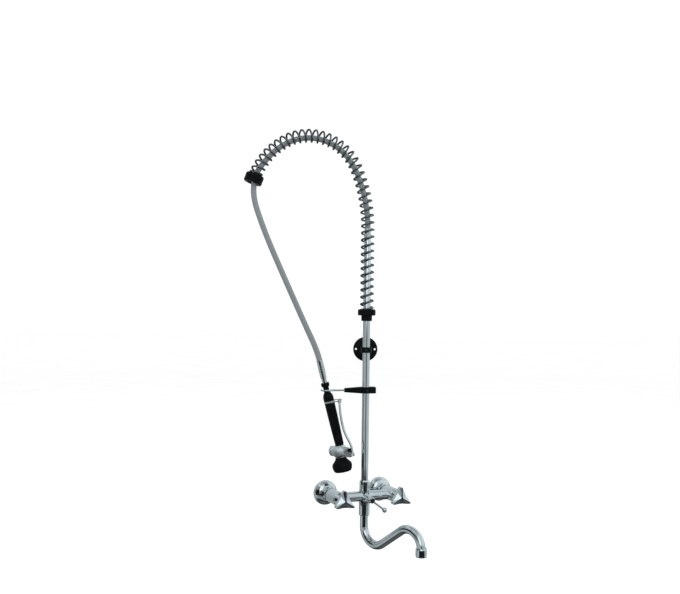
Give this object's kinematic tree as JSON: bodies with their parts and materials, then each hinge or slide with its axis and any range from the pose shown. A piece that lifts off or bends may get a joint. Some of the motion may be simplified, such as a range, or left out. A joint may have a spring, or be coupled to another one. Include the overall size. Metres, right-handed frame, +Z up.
{
  "type": "pre-rinse faucet",
  "caption": "Wall-mounted two-handle mixer with swivel spout, tall riser, overhead coil spring, flexible hose and a hand spray gun parked in a hook arm.",
  "frame": {"origin": "middle point between the two wall inlets, on the wall plane", "axes": "+Z up along the riser, +Y into the wall, +X to the right seen from the front"},
  "size_m": [0.4157, 0.2811, 1.0266],
  "materials": {
    "chrome": "polished chrome plate on brass",
    "spring_chrome": "bright chromed spring wire",
    "brass": "machined",
    "ceramic": "ground ceramic",
    "black_plastic": "fine moulded texture, satin",
    "black_rubber": "matt",
    "seal": "matt",
    "steel": "brushed",
    "grey_plastic": "matt",
    "hose_braid": "fine steel braid over a rubber tube"
  },
  "bodies": {
    "mixer": {"rosette_left": "chrome", "rosette_right": "chrome", "wall_connectors": "chrome", "union_nuts": "chrome", "inlet_washers": "seal", "inlet_tails": "chrome", "mixer_body": "chrome", "hot_cartridge": "brass", "cold_cartridge": "brass", "fixed_discs": "ceramic", "bonnet_left": "chrome", "bonnet_right": "chrome", "stop_bonnet": "chrome", "spout_nut": "chrome", "spout_seal": "seal", "riser_nut": "chrome", "riser_seal": "seal", "riser_tube": "chrome", "lower_spring_holder": "black_plastic", "coil_spring": "spring_chrome", "upper_spring_holder": "black_plastic", "hose_nut": "chrome", "hose_root_ferrule": "chrome", "hose": "hose_braid", "hose_end_ferrule": "chrome"},
    "hot_valve": {"hot_handle": "chrome", "hot_spindle": "brass", "hot_disc": "ceramic", "hot_handle_screw": "steel"},
    "cold_valve": {"cold_handle": "chrome", "cold_spindle": "brass", "cold_disc": "ceramic", "cold_handle_screw": "steel"},
    "stop_valve": {"stop_spindle": "brass", "stop_lever": "chrome", "stop_ball": "chrome"},
    "spout": {"spout_tube": "chrome", "aerator_housing": "chrome", "aerator_insert": "grey_plastic"},
    "bracket": {"bracket_clamp": "black_plastic", "clamp_screw": "steel"},
    "wall_plate": {"bracket_rod": "black_plastic", "wall_disc": "black_plastic"},
    "hook": {"hook_arm": "black_plastic", "hook_screw": "steel", "gun_hook": "chrome"},
    "spray_gun": {"gun_collar": "black_plastic", "gun_grip": "black_plastic", "gun_tube": "brass", "grip_band": "steel", "gun_head": "chrome", "valve_cap": "chrome", "valve_spring": "steel", "lever_pin": "steel", "spray_face": "steel", "rubber_bumper": "black_rubber"},
    "loop": {"lock_loop": "steel"},
    "trigger": {"spray_lever": "steel"},
    "stem": {"valve_stem": "steel", "stem_cap": "black_rubber"}
  },
  "joints": [
    {"name": "hot_handle_turn", "type": "hinge", "parent": "mixer", "child": "hot_valve", "pos_m": [-0.075, -0.12, 0], "axis": [0, -1, 0], "range_deg": [0, 90]},
    {"name": "cold_handle_turn", "type": "hinge", "parent": "mixer", "child": "cold_valve", "pos_m": [0.075, -0.12, 0], "axis": [0, -1, 0], "range_deg": [0, 90]},
    {"name": "stop_lever_turn", "type": "hinge", "parent": "mixer", "child": "stop_valve", "pos_m": [0, -0.119, -0.0025], "axis": [0, 1, 0], "range_deg": [0, 100]},
    {"name": "spout_swivel", "type": "hinge", "parent": "mixer", "child": "spout", "pos_m": [0, -0.075, -0.03], "axis": [0, 0, 1], "range_deg": [-110, 70]},
    {"name": "bracket_swivel", "type": "hinge", "parent": "mixer", "child": "bracket", "pos_m": [0, -0.075, 0.361], "axis": [0, 0, 1], "range_deg": [-22.6, 67.4]},
    {"name": "bracket_reach", "type": "slide", "parent": "bracket", "child": "wall_plate", "axis": [0.3811, 0.9245, 0], "range_m": [0, 0.009]},
    {"name": "hook_swing", "type": "hinge", "parent": "mixer", "child": "hook", "pos_m": [0, -0.075, 0.2616], "axis": [0, 0, 1], "range_deg": [0, 110]},
    {"name": "gun_swivel", "type": "hinge", "parent": "mixer", "child": "spray_gun", "pos_m": [-0.09922, -0.06105, 0.262], "axis": [-0.2496, 0.0351, 0.9677], "range_deg": [-150, 150]},
    {"name": "lever_squeeze", "type": "hinge", "parent": "spray_gun", "child": "trigger", "pos_m": [-0.0447, -0.09602, 0.10621], "axis": [-0.8378, -0.5235, -0.1553], "range_deg": [0, 5], "stiffness_Nm_per_rad": 4, "springref_deg": -2.86},
    {"name": "stem_push", "type": "slide", "parent": "spray_gun", "child": "stem", "axis": [-0.5084, 0.8516, -0.1277], "range_m": [0, 0.0012]},
    {"name": "lock_loop_flip", "type": "hinge", "parent": "spray_gun", "child": "loop", "pos_m": [-0.09204, -0.06207, 0.23413], "axis": [-0.8317, -0.5197, -0.1957], "range_deg": [0, 35]}
  ],
  "couplings": [
    {"joint": "stem_push", "follows": "lever_squeeze", "m_per_rad": 0.012}
  ]
}
